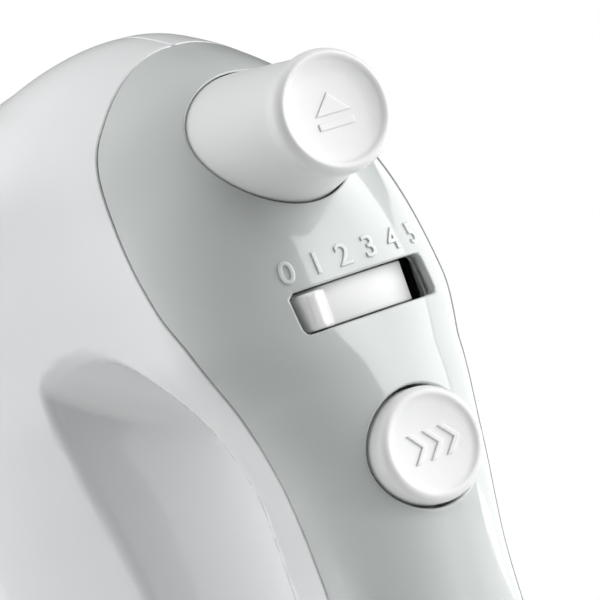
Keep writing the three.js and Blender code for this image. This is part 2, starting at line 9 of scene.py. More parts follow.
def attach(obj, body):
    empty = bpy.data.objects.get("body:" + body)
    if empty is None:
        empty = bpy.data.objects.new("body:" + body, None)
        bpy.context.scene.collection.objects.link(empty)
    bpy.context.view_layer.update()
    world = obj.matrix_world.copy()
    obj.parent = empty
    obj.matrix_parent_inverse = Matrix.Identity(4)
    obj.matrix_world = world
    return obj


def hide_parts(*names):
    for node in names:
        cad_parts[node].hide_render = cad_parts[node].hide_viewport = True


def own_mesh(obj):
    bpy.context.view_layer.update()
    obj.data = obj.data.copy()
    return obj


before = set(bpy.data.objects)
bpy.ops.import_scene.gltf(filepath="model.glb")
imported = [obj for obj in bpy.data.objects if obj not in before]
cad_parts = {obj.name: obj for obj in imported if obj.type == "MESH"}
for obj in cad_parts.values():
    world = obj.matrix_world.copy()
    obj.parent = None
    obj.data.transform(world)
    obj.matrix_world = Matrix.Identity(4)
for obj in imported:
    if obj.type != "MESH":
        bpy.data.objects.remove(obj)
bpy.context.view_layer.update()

# Shapes are laid out in millimetres in the mixer's own axes: X forward from the heel face,
# Y to the mixer's left, Z up from the motor axis. to_row() stands the mixer on its heel.
PAD_Z = 3.0                  # height of the middle of the heel pad
STAND = 2.0                  # how far the pad stands out from the heel face


def to_row(p):
    p = np.asarray(p, float).reshape(-1, 3)
    return np.stack([-p[:, 1], PAD_Z - p[:, 2], p[:, 0] + STAND], 1) / 1000


def turn_row(n):
    n = np.asarray(n, float).reshape(-1, 3)
    return np.stack([-n[:, 1], -n[:, 2], n[:, 0]], 1)


# ---------- camera ----------
CAMERA_AT = (-0.25131, -0.53826, 0.12264)
CAMERA_RIGHT = (0.83533, -0.43957, -0.33017)
CAMERA_BACK = (-0.47340, -0.88048, -0.02549)
CAMERA_LENS = 174.7
CAMERA_SENSOR = 36


def make_camera():
    data = bpy.data.cameras.new("camera")
    data.sensor_width = CAMERA_SENSOR
    data.lens = CAMERA_LENS
    data.clip_start = 0.05
    data.clip_end = 50
    cam = bpy.data.objects.new("camera", data)
    bpy.context.scene.collection.objects.link(cam)
    right = Vector(CAMERA_RIGHT).normalized()
    back = Vector(CAMERA_BACK).normalized()
    up = back.cross(right).normalized()
    turn = Matrix((right, up, back)).transposed().to_4x4()
    cam.matrix_world = Matrix.Translation(CAMERA_AT) @ turn
    bpy.context.scene.camera = cam


make_camera()

# ---------- the housing's form ----------
# (X, Z) points of the side view, and (X, half width) pairs at the handle and at the motor.
OUTLINE = [
    (195, 33), (192.9, 45.3), (189.3, 55.2), (186.5, 61.4), (178.1, 75.6), (162.8, 87.6),
    (147.7, 93.1), (131.1, 96.4), (116.8, 100.1), (100.8, 101.1), (80.8, 98.6), (59.2, 94.2),
    (38.5, 86.3), (20.9, 75.3), (8.9, 61), (2.2, 46), (0, 30), (0, 0), (0, -24),
    (3.4, -32.5), (13, -36), (55, -36), (105, -36), (145, -36), (168.9, -35.4),
    (179.9, -30.5), (188.9, -20.7), (193.3, -4.3), (195.4, 13.9)]
HALF_HANDLE = [
    (20, 18.8), (60, 17.2), (80, 15.8), (101, 18.5), (117, 23.3), (131, 27), (145, 26.2),
    (160, 23.7), (172, 21), (185, 15.3), (195, 9.3)]
HALF_BODY = [(20, 34.5), (110, 43), (150, 44), (172, 43), (185, 40.5), (195, 36)]
TUNNEL = [
    (139.8, 47), (139.5, 51), (138.4, 55.5), (136.3, 60), (133.4, 64.4), (129.8, 68.4),
    (125.8, 71.2), (121, 72.3), (113, 72), (104, 70.6), (94, 69.4), (80, 67.9), (66, 65),
    (54, 57.8), (48.5, 46), (52, 35.5), (64, 31.8), (84, 31.3), (105, 31.5), (122, 31.7),
    (131, 31.7), (134.2, 32.1), (135.6, 33.4), (137.4, 36.8), (139, 41)]
PANEL_EDGE = [
    (205, 59.4), (187, 59.7), (180, 60.1), (172, 61.3), (162.5, 64.4), (151.5, 68.4),
    (139.3, 73.7), (129.7, 79.2), (118.4, 81.8), (112, 82.5), (105, 81.7), (96.5, 80.5),
    (86.7, 78.9), (78, 78.5), (68, 79.6), (58, 83), (50, 88.5), (45, 95), (42, 104)]
HEEL_CORNER = 13             # corner radius across the housing at the heel
NECK_BULGE = 18              # how far the neck comes into the opening on the centre plane
NECK_HALF = 36
FLOOR_CROWN = 5              # rise of the surface under the fingers
FLOOR_HALF = 33
PALM_DROP = 4.5              # fullness of the handle's underside
PALM_HALF = 20
OPENING_FILLET = 1.8
WALL = 2.6
GAP = 0.15                   # half the gap between neighbouring shells
SEAM_ROUND = 0.35

EJECT_X = 162.3
EJECT_HOLE = [(60, 15.9), (72, 15.75), (75, 15.35), (79, 14.9), (83.7, 14.15), (92, 12.98),
              (104, 11.35), (120, 11.35)]      # (height, radius)
SLOT_X = 131.2
SLOT_Y = -1.9
SLOT_HALF_LENGTH = 14.65
SLOT_HALF_WIDTH = 3.9
SLOT_CORNER = 1.0
SLIDER_AXIS_Z = 70
SLIDER_ANGLE = 20.6          # knob to the left of the middle at rest
BAND_RIGHT = 35              # ends of the curved band at rest, in degrees
BAND_LEFT = 85
BAND_MIDDLE = 22.5           # distances from the slider's axis
BAND_TOP = 23.4
BOOST_X = 102.4
BOOST_HOLE = 11.05
BEATER_X = 150
BEATER_Y = 15.5
SOCKET_HOLE = 7.5
SCREWS = [(52, -28), (118, -28), (182, 16), (141.8, 66.5), (24, 57)]
WELL = 3.2                   # radius of the well over a screw's head
WELL_FLOOR = 8.1             # distance of its floor from the centre plane
SCREW_HOLE = 1.9
SCREW_BOSS = 4.6
GLAND_HOLE = 6.9
GLAND_REACH = 15             # how far the gland's hole runs inward
GLAND_AT = np.array([14.5, 0, 68.5])
GLAND_AXIS = np.array([-0.72, 0, 0.69]) / math.hypot(0.72, 0.69)
VENTS = [17.3 + 6.5 * k for k in range(5)]
VENT_MIDDLE = -1
VENT_STRAIGHT = 13.7         # half the straight length of a vent
VENT_HALF_WIDTH = 1.3
ELSEWHERE = 50.0             # stands for a distance where a hole does not apply
CELL = 1.5                   # spacing of the fine surface


def spline(points, per_span, closed=True):
    """Centripetal Catmull-Rom through the points."""
    p = np.array(points, float)
    n = len(p)
    out = []
    for i in range(n if closed else n - 1):
        ids = [i - 1, i, i + 1, i + 2]
        a, b, c, d = [p[k % n] if closed else p[min(max(k, 0), n - 1)] for k in ids]
        steps = [max(math.sqrt(np.linalg.norm(v - u)), 1e-3) for u, v in ((a, b), (b, c), (c, d))]
        d0, d1, d2 = steps
        m1 = ((b - a) / d0 - (c - a) / (d0 + d1) + (c - b) / d1) * d1
        m2 = ((c - b) / d1 - (d - b) / (d1 + d2) + (d - c) / d2) * d1
        t = np.arange(per_span)[:, None] / per_span
        out.append(b * (2 * t**3 - 3 * t**2 + 1) + m1 * (t**3 - 2 * t**2 + t)
                   + c * (3 * t**2 - 2 * t**3) + m2 * (t**3 - t**2))
    if not closed:
        out.append(p[-1:])
    return np.concatenate(out)


def signed_distance(poly, x, z):
    """Distance from the closed line, negative inside."""
    a = poly
    b = np.roll(poly, -1, 0)
    e = b - a
    long2 = np.maximum((e * e).sum(1), 1e-12)
    px, pz = x.ravel(), z.ravel()
    out = np.empty(px.size)
    for s in range(0, px.size, 8000):
        qx = px[s:s + 8000, None]
        qz = pz[s:s + 8000, None]
        t = np.clip(((qx - a[:, 0]) * e[:, 0] + (qz - a[:, 1]) * e[:, 1]) / long2, 0, 1)
        d2 = (qx - a[:, 0] - t * e[:, 0]) ** 2 + (qz - a[:, 1] - t * e[:, 1]) ** 2
        over = (a[:, 1] > qz) != (b[:, 1] > qz)
        slope = np.where(np.abs(e[:, 1]) > 1e-12, e[:, 1], 1e-12)
        left = qx < e[:, 0] * (qz - a[:, 1]) / slope + a[:, 0]
        inside = (over & left).sum(1) % 2 == 1
        out[s:s + 8000] = np.sqrt(d2.min(1)) * np.where(inside, -1, 1)
    return out.reshape(x.shape)


def along(knots, x):
    """Monotone cubic through the knots, held flat past both ends."""
    k = np.array(knots, float)
    h = np.diff(k[:, 0])
    d = np.diff(k[:, 1]) / h
    m = np.zeros(len(k))
    for i in range(1, len(k) - 1):
        if d[i - 1] * d[i] > 0:
            w1 = 2 * h[i] + h[i - 1]
            w2 = h[i] + 2 * h[i - 1]
            m[i] = (w1 + w2) / (w1 / d[i - 1] + w2 / d[i])
    x = np.clip(x, k[0, 0], k[-1, 0])
    i = np.clip(np.searchsorted(k[:, 0], x, side="right") - 1, 0, len(k) - 2)
    t = (x - k[i, 0]) / h[i]
    return (k[i, 1] * (1 + 2 * t) * (1 - t) ** 2 + k[i + 1, 1] * t * t * (3 - 2 * t)
            + h[i] * (m[i] * t * (1 - t) ** 2 - m[i + 1] * t * t * (1 - t)))


def smooth(e0, e1, x):
    t = np.clip((x - e0) / (e1 - e0), 0, 1)
    return t * t * (3 - 2 * t)


class Field:
    """A value over X and Z, held on a fine grid and read with a smooth cubic."""

    def __init__(self, make, x_range, z_range, step=1.0):
        self.x0 = x_range[0]
        self.z0 = z_range[0]
        self.step = step
        xs = np.arange(x_range[0], x_range[1] + step, step)
        zs = np.arange(z_range[0], z_range[1] + step, step)
        grid = np.meshgrid(xs, zs, indexing="ij")
        self.v = make(*grid)

    def weights(self, u, n):
        i = np.clip(np.floor(u).astype(int), 1, n - 3)
        f = np.clip(u - i, 0, 1)
        return i, [(1 - f) ** 3 / 6, (3 * f**3 - 6 * f**2 + 4) / 6,
                   (-3 * f**3 + 3 * f**2 + 3 * f + 1) / 6, f**3 / 6]

    def __call__(self, x, z):
        i, wx = self.weights((x - self.x0) / self.step, self.v.shape[0])
        j, wz = self.weights((z - self.z0) / self.step, self.v.shape[1])
        total = 0
        for a in range(4):
            for b in range(4):
                total = total + wx[a] * wz[b] * self.v[i + a - 1, j + b - 1]
        return total


def half_width(x, z):
    top = along(HALF_HANDLE, x)
    return top + (along(HALF_BODY, x) - top) * smooth(95, -25, z)


def corner(x, z):
    full = np.minimum(half_width(x, z) - 1, 23 + 7 * smooth(60, 10, z))
    return HEEL_CORNER + (full - HEEL_CORNER) * smooth(-15, 115, x)


SPAN_X = (-14, 212)
SPAN_Z = (-54, 120)
outline_line = spline(OUTLINE, 16)
tunnel_line = spline(TUNNEL, 16)
edge_line = np.concatenate([spline(PANEL_EDGE, 12, closed=False), [(42, 140), (220, 140), (220, 59.4)]])
OUT = Field(lambda x, z: signed_distance(outline_line, x, z), SPAN_X, SPAN_Z)
HALF = Field(half_width, SPAN_X, SPAN_Z)
ROUND = Field(corner, SPAN_X, SPAN_Z)
HOLE = Field(lambda x, z: signed_distance(tunnel_line, x, z), (20, 200), (5, 100))
EDGE = Field(lambda x, z: signed_distance(edge_line, x, z), SPAN_X, SPAN_Z, 0.75)


def soft_max(a, b, r):
    curved = -r + np.sqrt(np.maximum(a + r, 0) ** 2 + np.maximum(b + r, 0) ** 2)
    return np.maximum(np.maximum(a, b), curved)


def envelope(x, y, z):
    return soft_max(OUT(x, z), np.abs(y) - HALF(x, z), ROUND(x, z))


def opening(x, y, z):
    """Distance from the finger opening's wall, negative in the open space."""
    bulge = NECK_BULGE * np.maximum(0, 1 - np.abs(y / NECK_HALF) ** 1.6)
    drop = PALM_DROP * np.maximum(0, 1 - (y / PALM_HALF) ** 2)
    rise = FLOOR_CROWN * np.maximum(0, 1 - (y / FLOOR_HALF) ** 2) * (1 - smooth(43, 61, z))
    return HOLE(x + bulge * smooth(68, 112, x), z + drop * smooth(50, 65, z) - rise)


def body(x, y, z):
    return soft_max(envelope(x, y, z), -opening(x, y, z), OPENING_FILLET)


# ---------- fine surfaces ----------
def gradient(f, p, e=0.05):
    g = np.zeros_like(p)
    for k in range(3):
        d = np.zeros(3)
        d[k] = e
        g[:, k] = (f(*(p + d).T) - f(*(p - d).T)) / (2 * e)
    return g


def onto(f, p, rounds=4):
    for _ in range(rounds):
        g = gradient(f, p)
        p = p - g * (f(*p.T) / np.maximum((g * g).sum(1), 1e-6))[:, None]
    return p


def unit(v):
    return v / np.maximum(np.linalg.norm(v, axis=1), 1e-9)[:, None]


def meet(f, g, p, rounds=5):
    """Moves points to where f and g are both zero."""
    for _ in range(rounds):
        a = gradient(f, p)
        b = gradient(g, p)
        aa = (a * a).sum(1)
        bb = (b * b).sum(1)
        ab = (a * b).sum(1)
        det = np.maximum(aa * bb - ab * ab, 1e-4)
        fv = f(*p.T)
        gv = g(*p.T)
        s = (bb * fv - ab * gv) / det
        t = (aa * gv - ab * fv) / det
        p = p - a * s[:, None] - b * t[:, None]
    return p


def surface(f, low, high, h):
    """Surface nets over a box, then every vertex is moved onto f = 0."""
    low = np.array(low, float)
    n = np.ceil((np.array(high) - low) / h).astype(int) + 1
    axes = [low[k] + h * np.arange(n[k]) for k in range(3)]
    grid = np.meshgrid(*axes, indexing="ij", sparse=True)
    value = f(*grid)
    inside = value < 0
    count = sum(inside[i:n[0] - 1 + i, j:n[1] - 1 + j, k:n[2] - 1 + k].astype(int)
                for i in (0, 1) for j in (0, 1) for k in (0, 1))
    active = (count > 0) & (count < 8)
    cells = np.argwhere(active)
    index = -np.ones(active.shape, int)
    index[active] = np.arange(len(cells))
    total = np.zeros((len(cells), 3))
    number = np.zeros(len(cells))
    for axis in range(3):
        other = [k for k in range(3) if k != axis]
        for i in (0, 1):
            for j in (0, 1):
                shift = np.zeros(3, int)
                shift[other[0]] = i
                shift[other[1]] = j
                a = cells + shift
                b = a.copy()
                b[:, axis] += 1
                va = value[tuple(a.T)]
                vb = value[tuple(b.T)]
                m = (va < 0) != (vb < 0)
                q = a[m].astype(float)
                q[:, axis] += va[m] / (va[m] - vb[m])
                total[m] += q
                number[m] += 1
    points = onto(f, low + h * total / number[:, None])
    quads = []
    for axis in range(3):
        first = [slice(None)] * 3
        second = [slice(None)] * 3
        first[axis] = slice(0, n[axis] - 1)
        second[axis] = slice(1, n[axis])
        e = np.argwhere(inside[tuple(first)] != inside[tuple(second)])
        u, w = [(1, 2), (2, 0), (0, 1)][axis]
        ok = (e[:, u] > 0) & (e[:, w] > 0) & (e[:, u] < n[u] - 1) & (e[:, w] < n[w] - 1)
        e = e[ok]
        q = []
        for du, dw in ((1, 1), (0, 1), (0, 0), (1, 0)):
            k = e.copy()
            k[:, u] -= du
            k[:, w] -= dw
            q.append(index[tuple(k.T)])
        q = np.array(q).T
        flip = ~inside[tuple(e.T)]
        q[flip] = q[flip][:, ::-1]
        quads.append(q)
    q = np.concatenate(quads)
    short = (np.linalg.norm(points[q[:, 0]] - points[q[:, 2]], axis=1)
             < np.linalg.norm(points[q[:, 1]] - points[q[:, 3]], axis=1))
    tris = np.concatenate([q[short][:, [0, 1, 2]], q[short][:, [0, 2, 3]],
                           q[~short][:, [0, 1, 3]], q[~short][:, [1, 2, 3]]])
    return points, tris


def clip(points, tris, f, g, snap=0.3 * CELL):
    """Keeps the part of the surface f = 0 where g is above zero, with a clean edge."""
    points = points.copy()
    s = g(*points.T)
    near = np.abs(s) < snap
    if near.any():
        points[near] = meet(f, g, points[near])
        s[near] = 0
    a = s[tris]
    keep = (a >= 0).all(1) & (a > 0).any(1)
    flat = (a == 0).all(1)
    if flat.any():
        middle = points[tris[flat]].mean(1)
        keep[np.where(flat)[0][g(*middle.T) > 0]] = True
    cross = (a > 0).any(1) & (a < 0).any(1)
    out = [tris[keep]]
    if cross.any():
        t = tris[cross]
        pairs = np.concatenate([t[:, [0, 1]], t[:, [1, 2]], t[:, [2, 0]]])
        pairs = pairs[s[pairs[:, 0]] * s[pairs[:, 1]] < 0]
        pairs = np.unique(np.sort(pairs, axis=1), axis=0)
        sa = s[pairs[:, 0]]
        share = (sa / (sa - s[pairs[:, 1]]))[:, None]
        fresh = points[pairs[:, 0]] * (1 - share) + points[pairs[:, 1]] * share
        fresh = meet(f, g, fresh)
        number = {(i, j): len(points) + k for k, (i, j) in enumerate(pairs.tolist())}
        points = np.concatenate([points, fresh])
        more = []
        for tri in t.tolist():
            ring = []
            for k in range(3):
                i, j = tri[k], tri[(k + 1) % 3]
                if s[i] >= 0:
                    ring.append(i)
                if s[i] * s[j] < 0:
                    ring.append(number[(min(i, j), max(i, j))])
            if len(ring) == 4:
                p = points[ring]
                if np.linalg.norm(p[0] - p[2]) > np.linalg.norm(p[1] - p[3]):
                    ring = ring[1:] + ring[:1]
                more.append([ring[0], ring[2], ring[3]])
            more.append(ring[:3])
        out.append(np.array(more, int))
    tris = np.concatenate(out)
    used = np.unique(tris)
    renumber = -np.ones(len(points), int)
    renumber[used] = np.arange(len(used))
    return points[used], renumber[tris]


class Cut:
    """An edge of a shell: kept where g is above zero. e is how far its corner is rounded over,
    and wall gives the rows of points that follow the rounding down to the inner face."""

    def __init__(self, g, e, wall=None):
        self.e = e
        self.g = lambda x, y, z: g(x, y, z) - e
        self.wall = wall


def welded(verts, norms, faces):
    """Joins points that repeat another one and its normal, and drops the faces with no area."""
    both = np.round(np.column_stack([verts, norms]), 5)
    first, index = np.unique(both, axis=0, return_index=True, return_inverse=True)[1:]
    faces = index.reshape(-1)[faces]
    place = np.unique(np.round(verts[first], 5), axis=0, return_inverse=True)[1]
    a, b, c = place.reshape(-1)[faces].T
    return verts[first], norms[first], faces[(a != b) & (b != c) & (c != a)]


ROUND_STEPS = (25, 50, 70, 90)


def shell(f, points, tris, cuts, wall=WALL):
    """A closed shell from a clipped surface: outer face, rounded edges, walls and inner face."""
    n = unit(gradient(f, points))
    count = len(points)
    directed = np.concatenate([tris[:, [0, 1]], tris[:, [1, 2]], tris[:, [2, 0]]])
    codes = directed[:, 0] * count + directed[:, 1]
    back = directed[:, 1] * count + directed[:, 0]
    rim = directed[~np.isin(codes, back)]
    at = np.unique(rim)
    p = points[at]
    pn = n[at]
    values = np.array([np.abs(c.g(*p.T)) for c in cuts])
    nearest = values.argmin(0)
    second = values.copy()
    second[nearest, np.arange(len(at))] = 1e9
    other = second.argmin(0)
    both = second.min(0) < 0.02
    slopes = []
    for c in cuts:
        g = gradient(c.g, p)
        slopes.append(unit(g - pn * (g * pn).sum(1)[:, None]))
    slopes = np.array(slopes)
    rows = np.arange(len(at))
    a = slopes[nearest, rows]
    b = slopes[other, rows]
    away = -a
    dots = (a * b).sum(1)
    away[both] = -((a + b) / np.maximum(1 + dots, 0.3)[:, None])[both]
    e = np.array([c.e for c in cuts])[nearest][:, None]
    levels = []
    for deg in ROUND_STEPS:
        s, c = math.sin(math.radians(deg)), math.cos(math.radians(deg))
        levels.append((p + e * (away * s - pn * (1 - c)), unit(pn * c + away * s)))
    edge = p + e * away
    kinds = [c.wall for c in cuts]
    depth = max([len(k(p[:1], pn[:1])) for k in kinds if k] + [1])
    walls = [[edge - pn * wall, unit(away)] for _ in range(depth)]
    for k, kind in enumerate(kinds):
        mine = nearest == k
        if kind is None or not mine.any():
            continue
        made = kind(edge[mine], pn[mine])
        made = [made[0]] * (depth - len(made)) + made
        for row, (q, m) in zip(walls, made):
            row[0][mine] = q
            row[1][mine] = m
    levels += walls
    base = 2 * count
    verts = [points, points - n * wall]
    norms = [n, -n]
    faces = [tris, tris[:, ::-1] + count]
    order = -np.ones(count, int)
    order[at] = np.arange(len(at))
    above = rim.copy()
    for q, m in levels:
        verts.append(q)
        norms.append(m)
        below = base + order[rim]
        faces.append(np.stack([above[:, 1], above[:, 0], below[:, 0]], 1))
        faces.append(np.stack([above[:, 1], below[:, 0], below[:, 1]], 1))
        above = below
        base += len(at)
    below = rim + count
    faces.append(np.stack([above[:, 1], above[:, 0], below[:, 0]], 1))
    faces.append(np.stack([above[:, 1], below[:, 0], below[:, 1]], 1))
    return welded(np.concatenate(verts), np.concatenate(norms), np.concatenate(faces))


def make_object(name, verts, faces, normals=None, crease=None):
    mesh = bpy.data.meshes.new(name)
    mesh.from_pydata(to_row(verts).tolist(), [], [list(map(int, f)) for f in faces])
    mesh.validate()
    mesh.shade_smooth()
    if normals is not None:
        mesh.normals_split_custom_set_from_vertices(turn_row(normals).tolist())
    if crease is not None:
        mesh.set_sharp_from_angle(angle=math.radians(crease))
    mesh.update()
    ob = bpy.data.objects.new(name, mesh)
    bpy.context.scene.collection.objects.link(ob)
    return ob


# ---------- edges of the three shells ----------
def beyond_middle(x, y, z):
    return y - GAP


def beyond_panel(x, y, z):
    return EDGE(x, z) - GAP


def on_panel(x, y, z):
    return -EDGE(x, z) - GAP


def hole_radius(z):
    k = np.array(EJECT_HOLE)
    return np.interp(z, k[:, 0], k[:, 1])


def eject_hole(x, y, z):
    return np.hypot(x - EJECT_X, y) - hole_radius(z)


def boost_hole(x, y, z):
    return np.hypot(x - BOOST_X, y) - BOOST_HOLE


def slot_hole(x, y, z):
    dx = np.abs(x - SLOT_X) - SLOT_HALF_WIDTH + SLOT_CORNER
    dy = np.abs(y - SLOT_Y) - SLOT_HALF_LENGTH + SLOT_CORNER
    outside = np.hypot(np.maximum(dx, 0), np.maximum(dy, 0))
    return outside + np.minimum(np.maximum(dx, dy), 0) - SLOT_CORNER


def socket_hole(x, y, z):
    return np.where(z < 0, np.hypot(x - BEATER_X, y - BEATER_Y) - SOCKET_HOLE, ELSEWHERE)


def gland_hole(x, y, z):
    q = np.stack(np.broadcast_arrays(x, y, z), -1) - GLAND_AT
    t = q @ GLAND_AXIS
    r = np.linalg.norm(q - t[..., None] * GLAND_AXIS, axis=-1) - GLAND_HOLE
    return np.where(t > -GLAND_REACH, r, ELSEWHERE)


def vent_hole(x, y, z):
    beyond = np.maximum(np.abs(z - VENT_MIDDLE) - VENT_STRAIGHT, 0)
    nearest = np.min([np.hypot(x - v, beyond) for v in VENTS], axis=0)
    return np.where(y > 15, nearest - VENT_HALF_WIDTH, ELSEWHERE)


def well_hole(x, y, z):
    nearest = np.min([np.hypot(x - a, z - b) for a, b in SCREWS], axis=0)
    return np.where(y > 4, nearest - WELL, ELSEWHERE)


HOLE_RIM = 1.3               # thickness of the panel's rim round a button's hole
EJECT_RIM = (1.5, 4, 8)      # depths of the rows of points down the eject button's hole
EJECT_RIM_BACK = 4.5         # how deep the rim's back comes up to
BOOST_RIM = (95.5, 92.8)     # heights of the rows of points down the boost button's hole
SLOT_RIM = 1.2
SLOT_CLEAR = 0.4             # between the slider's band and the slot's rim


def around(p, centre, radius, height):
    """Points on a circle about a line along Z, at each point's own angle, with outward normals
    of the material, which face the line."""
    d = p[:, :2] - np.array(centre)
    d = d / np.linalg.norm(d, axis=1)[:, None]
    q = np.column_stack([np.array(centre) + d * np.reshape(radius, (-1, 1)), height])
    return q, np.column_stack([-d, np.zeros(len(p))])


def eject_wall(p, n):
    """Follows the button's slanted side down, then comes back up behind itself."""
    rows = []
    for down in EJECT_RIM:
        h = p[:, 2] - down
        rows.append(around(p, (EJECT_X, 0), hole_radius(h), h))
    h = p[:, 2] - EJECT_RIM[-1]
    q, m = around(p, (EJECT_X, 0), hole_radius(h) + HOLE_RIM, h)
    rows.append((q, m * 0 + (0, 0, -1)))
    h = p[:, 2] - EJECT_RIM_BACK
    q, m = around(p, (EJECT_X, 0), hole_radius(h) + HOLE_RIM, h)
    rows.append((q, -m))
    return rows


def boost_wall(p, n):
    rows = [around(p, (BOOST_X, 0), BOOST_HOLE, p[:, 2] * 0 + h) for h in BOOST_RIM]
    q, m = around(p, (BOOST_X, 0), BOOST_HOLE + HOLE_RIM, p[:, 2] * 0 + BOOST_RIM[-1])
    rows.append((q, m * 0 + (0, 0, -1)))
    return rows


def slot_wall(p, n):
    """Runs down to just above the slider's band."""
    low = SLIDER_AXIS_Z + np.sqrt(np.maximum((BAND_TOP + SLOT_CLEAR) ** 2 - p[:, 1] ** 2, 0))
    side = unit(gradient(slot_hole, p))
    q = np.column_stack([p[:, 0], p[:, 1], np.minimum(low, p[:, 2] - 0.5)])
    back = q + side * SLOT_RIM
    back[:, 2] += 0.3
    return [(q, -side), (back, side * 0 + (0, 0, -1))]


def well_wall(p, n):
    """The left half's form is mirrored for the right half, so wells open toward +Y here."""
    centres = np.array(SCREWS, float)
    flat = p[:, [0, 2]]
    c = centres[np.linalg.norm(flat[:, None] - centres[None], axis=2).argmin(1)]
    d = flat - c
    d = d / np.linalg.norm(d, axis=1)[:, None]
    rows = []
    steps = ((WELL, WELL_FLOOR, -1), (SCREW_HOLE, WELL_FLOOR, 0), (SCREW_HOLE, GAP, -1),
             (SCREW_BOSS, GAP, 0))
    for r, y, face in steps:
        q = np.column_stack([c[:, 0] + d[:, 0] * r, p[:, 1] * 0 + y, c[:, 1] + d[:, 1] * r])
        side = np.column_stack([d[:, 0], p[:, 1] * 0, d[:, 1]])
        up = np.zeros_like(q)
        up[:, 1] = 1 if y > 4 else -1
        rows.append((q, side * face if face else up))
    q = p - n * WALL
    q = np.column_stack([c[:, 0] + d[:, 0] * SCREW_BOSS, q[:, 1] - 0.4, c[:, 1] + d[:, 1] * SCREW_BOSS])
    rows.append((q, np.column_stack([d[:, 0], p[:, 1] * 0, d[:, 1]])))
    return rows


HALF_LOW = (-8, -2.6, -44)   # corners of the boxes that hold one half and the panel
HALF_HIGH = (203, 52, 108)
PANEL_LOW = (36, -34, 54)
PANEL_HIGH = (203, 34, 108)


def build_shells():
    points, tris = surface(body, HALF_LOW, HALF_HIGH, CELL)
    shared = [Cut(beyond_middle, SEAM_ROUND), Cut(beyond_panel, SEAM_ROUND),
              Cut(socket_hole, 0.3), Cut(gland_hole, 0.5), Cut(vent_hole, 0.45)]
    made = {}
    for side, name in ((1, "left"), (-1, "right")):
        cuts = shared + ([Cut(well_hole, 0.4, well_wall)] if side < 0 else [])
        p, t = points, tris
        for c in cuts:
            p, t = clip(p, t, body, c.g)
        v, n, f = shell(body, p, t, cuts)
        if side < 0:
            v = v * (1, -1, 1)
            n = n * (1, -1, 1)
            f = f[:, ::-1]
        made[name] = make_object(f"{name}_shell", v, f, n)
    points, tris = surface(envelope, PANEL_LOW, PANEL_HIGH, CELL)
    cuts = [Cut(on_panel, SEAM_ROUND), Cut(eject_hole, 0.35, eject_wall),
            Cut(boost_hole, 0.45, boost_wall), Cut(slot_hole, 0.45, slot_wall)]
    p, t = points, tris
    for c in cuts:
        p, t = clip(p, t, envelope, c.g)
    v, n, f = shell(envelope, p, t, cuts)
    made["panel"] = make_object("panel_shell", v, f, n)
    return made


# ---------- turned, swept and cut-out pieces ----------
def turned(name, profile, centre=(0, 0), segments=96, crease=38, on_gland=False):
    """profile is (radius, height) pairs, on the axis at both ends or closed on itself. It turns
    about a line along Z through the centre, or about the cord gland's own axis."""
    prof = [(float(r), float(h)) for r, h in profile]
    closed = prof[0][0] > 1e-6
    angles = np.linspace(0, 2 * math.pi, segments, endpoint=False)
    verts = []
    rows = []
    for r, h in prof:
        if r < 1e-6:
            rows.append([len(verts)])
            verts.append((0, 0, h))
        else:
            rows.append(list(range(len(verts), len(verts) + segments)))
            verts += [(r * math.cos(a), r * math.sin(a), h) for a in angles]
    faces = []
    pairs = list(zip(rows, rows[1:])) + ([(rows[-1], rows[0])] if closed else [])
    for a, b in pairs:
        for k in range(segments if len(a) + len(b) > 2 else 0):
            m = (k + 1) % segments
            if len(a) == 1:
                faces.append((a[0], b[m], b[k]))
            elif len(b) == 1:
                faces.append((a[k], a[m], b[0]))
            else:
                faces.append((a[k], a[m], b[m], b[k]))
    v = np.array(verts)
    if on_gland:
        side = np.array([0.0, 1.0, 0.0])
        up = np.cross(GLAND_AXIS, side)
        v = GLAND_AT + v[:, :1] * side + v[:, 1:2] * -up + v[:, 2:] * GLAND_AXIS
    else:
        v = v + (centre[0], centre[1], 0)
    return tidy(make_object(name, v, faces), crease)


def tidy(ob, crease=38):
    """Outward faces, merged corners, and creases where the form has them."""
    bm = bmesh.new()
    bm.from_mesh(ob.data)
    bmesh.ops.remove_doubles(bm, verts=bm.verts, dist=2e-7)
    bmesh.ops.recalc_face_normals(bm, faces=bm.faces)
    bm.to_mesh(ob.data)
    bm.free()
    ob.data.shade_smooth()
    ob.data.set_sharp_from_angle(angle=math.radians(crease))
    return ob


def arc(cx, cy, r, a0, a1, steps):
    return [(cx + r * math.cos(math.radians(a)), cy + r * math.sin(math.radians(a)))
            for a in np.linspace(a0, a1, steps)]


def rounded(half_a, half_b, r, steps):
    """Outline of a rectangle with round corners."""
    points = []
    for sx, sy, a0 in ((1, 1, 0), (-1, 1, 90), (-1, -1, 180), (1, -1, 270)):
        points += arc(sx * (half_a - r), sy * (half_b - r), r, a0, a0 + 90, steps)
    return points


def loft(rows, closed=False):
    """Points and faces of a body that runs through rows of equally many points. Its ends are
    capped, or joined to each other when it is closed."""
    n = len(rows[0])
    faces = []
    for k in range(len(rows) if closed else len(rows) - 1):
        m = (k + 1) % len(rows)
        for i in range(n):
            j = (i + 1) % n
            faces.append((k * n + i, k * n + j, m * n + j, m * n + i))
    if not closed:
        last = (len(rows) - 1) * n
        faces += [tuple(range(n)), tuple(range(last, last + n))]
    return np.concatenate(rows), faces


